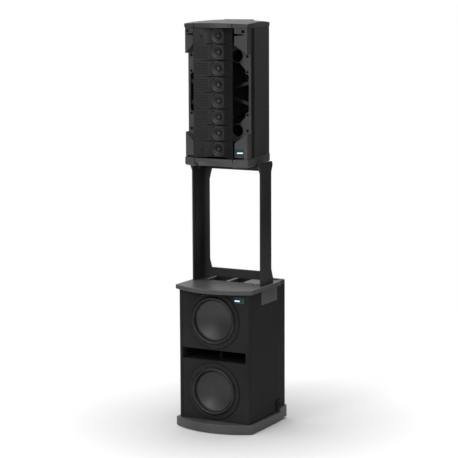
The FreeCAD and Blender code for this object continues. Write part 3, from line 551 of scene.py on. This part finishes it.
# ---- stage ----------------------------------------------------------------------------------------
def floor():
    bm = bmesh.new()
    lathe(bm, [(0, 0), (0.6, 0), (1.5, 0), (2.6, 0)], (0, 0, -0.0005), segments=96, axis=2)
    mesh = bpy.data.meshes.new("floor")
    bm.to_mesh(mesh)
    bm.free()
    obj = bpy.data.objects.new("floor", mesh)
    bpy.context.scene.collection.objects.link(obj)
    material, tree, shader = new_material("floor")
    coords = add(tree, "ShaderNodeTexCoord").outputs["Object"]
    distance = add(tree, "ShaderNodeVectorMath", operation="LENGTH")
    tree.links.new(coords, distance.inputs[0])
    # Painted shadow: the floor is darker near the base (0.70 within 0.3 m) and grows lighter out to 1.1 m (0.98),
    # standing in for the soft shadow round the stand.
    tone = mix(tree, spread(tree, distance.outputs["Value"], 0.0, 1.0, 0.3, 1.1), (0.70, 0.70, 0.70),
               (0.98, 0.98, 0.98))
    tree.links.new(tone, shader.inputs["Base Color"])
    shader.inputs["Roughness"].default_value = 0.85
    shader.inputs["Specular IOR Level"].default_value = 0.2
    mesh.materials.append(material)


def softbox(name, place, size, power, aim=(0, 0, 1.0)):
    light = bpy.data.lights.new(name, "AREA")
    light.shape = "RECTANGLE"
    light.size, light.size_y = size
    light.energy = power
    obj = bpy.data.objects.new(name, light)
    obj.location = place
    obj.rotation_euler = (Vector(aim) - Vector(place)).to_track_quat("-Z", "Y").to_euler()
    bpy.context.scene.collection.objects.link(obj)


def studio():
    """A white dome, with a bright wall low down at the back left and dark walls elsewhere."""
    world = bpy.data.worlds.new("studio")
    bpy.context.scene.world = world
    world.use_nodes = True
    tree = world.node_tree
    background = tree.nodes["Background"]
    direction = add(tree, "ShaderNodeTexCoord").outputs["Generated"]
    split = add(tree, "ShaderNodeSeparateXYZ")
    tree.links.new(direction, split.inputs[0])
    dome = add(tree, "ShaderNodeMath", operation="MULTIPLY")
    tree.links.new(spread(tree, split.outputs["Z"], 0.05, 1.42, 0.25, 0.60), dome.inputs[0])
    tree.links.new(spread(tree, split.outputs["X"], 1.0, 0.45, 0.10, 0.60), dome.inputs[1])
    towards = add(tree, "ShaderNodeVectorMath", operation="DOT_PRODUCT")
    towards.inputs[1].default_value = (-0.478, 0.878, 0.0)
    tree.links.new(direction, towards.inputs[0])
    wall = add(tree, "ShaderNodeMath", operation="MULTIPLY")
    tree.links.new(spread(tree, towards.outputs["Value"], 0.0, 1.0, 0.55, 0.95), wall.inputs[0])
    tree.links.new(spread(tree, split.outputs["Z"], 0.0, 1.0, -0.06, 0.10), wall.inputs[1])
    room = add(tree, "ShaderNodeMath", operation="MAXIMUM")
    tree.links.new(dome.outputs[0], room.inputs[0])
    tree.links.new(wall.outputs[0], room.inputs[1])
    seen = add(tree, "ShaderNodeLightPath").outputs["Is Camera Ray"]
    level = add(tree, "ShaderNodeMath", operation="MAXIMUM")
    tree.links.new(room.outputs[0], level.inputs[0])
    tree.links.new(seen, level.inputs[1])
    tree.links.new(level.outputs[0], background.inputs["Strength"])
    background.inputs["Color"].default_value = (1, 1, 1, 1)
    softbox("right", (3.2, -4.9, 2.6), (1.6, 3.0), 62)
    softbox("left", (-1.2, -5.8, 3.0), (1.4, 2.6), 110)
    bpy.context.scene.view_settings.view_transform = "Standard"


def camera():
    azimuth, elevation, roll = math.radians(28.56), math.radians(8.40), math.radians(-0.26)
    distance = 8.6
    right = Vector((math.cos(azimuth), math.sin(azimuth), 0))
    back = Vector((math.sin(azimuth) * math.cos(elevation), -math.cos(azimuth) * math.cos(elevation),
                   math.sin(elevation)))
    up = back.cross(right)
    target = Vector((0, 0, 1.0)) - 0.0009 * right - 0.0537 * up
    turned_right = right * math.cos(roll) + up * math.sin(roll)
    turned_up = up * math.cos(roll) - right * math.sin(roll)
    pose = Matrix((turned_right, turned_up, back)).transposed().to_4x4()
    pose.translation = target + back * distance
    data = bpy.data.cameras.new("camera")
    data.lens, data.sensor_width = 142.2, 36.0
    data.clip_end = 100
    obj = bpy.data.objects.new("camera", data)
    obj.matrix_world = pose
    bpy.context.scene.collection.objects.link(obj)
    bpy.context.scene.camera = obj


dress_cad()
woofer_fronts()
woofer_screws()
small_drivers()
array_end_pins()
status_lights()
boss_inserts()
port_rims()
shade_strips()
rear_panels()
floor()
studio()
camera()
